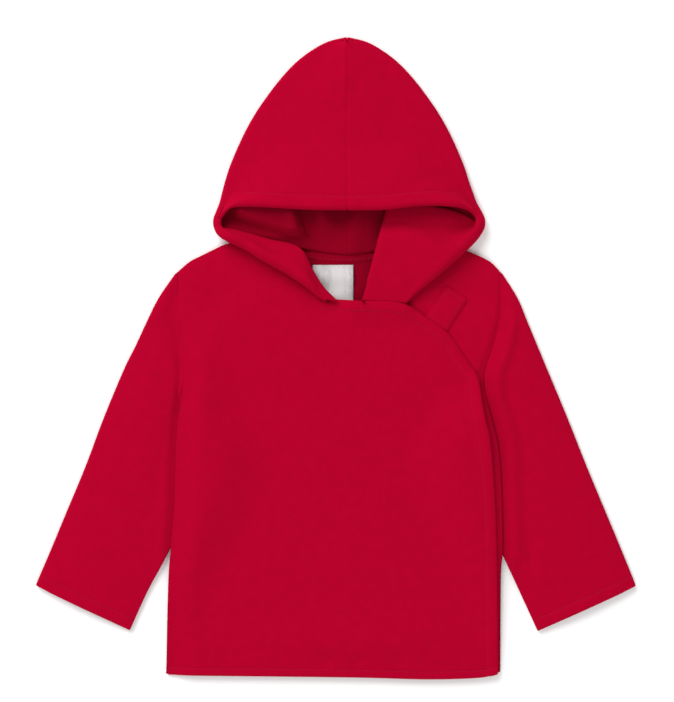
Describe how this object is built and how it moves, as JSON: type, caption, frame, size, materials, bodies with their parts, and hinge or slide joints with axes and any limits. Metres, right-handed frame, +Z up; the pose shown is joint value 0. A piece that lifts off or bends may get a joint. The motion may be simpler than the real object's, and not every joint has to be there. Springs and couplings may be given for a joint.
{
  "type": "hooded wrap jacket",
  "caption": "Small child's fleece jacket with a pointed hood, a slanted wrap front and long sleeves, laid flat on its back with the hood's sides folded over the neck.",
  "frame": {"origin": "middle of the bounding box's underside, on the table", "axes": "+X to the wearer's left, +Y from the hem to the hood's peak, +Z up from the table through the front"},
  "size_m": [0.5364, 0.5772, 0.0157],
  "materials": {
    "red_fleece": "soft brushed pile, matt with a faint sheen",
    "white_satin": "woven satin ribbon"
  },
  "bodies": {
    "root": {"back": "red_fleece", "front_right": "red_fleece", "front_left": "red_fleece", "sleeve_right": "red_fleece", "sleeve_left": "red_fleece", "hood_right": "red_fleece", "hood_left": "red_fleece", "closure_tab": "red_fleece", "neck_label": "white_satin"}
  },
  "joints": []
}
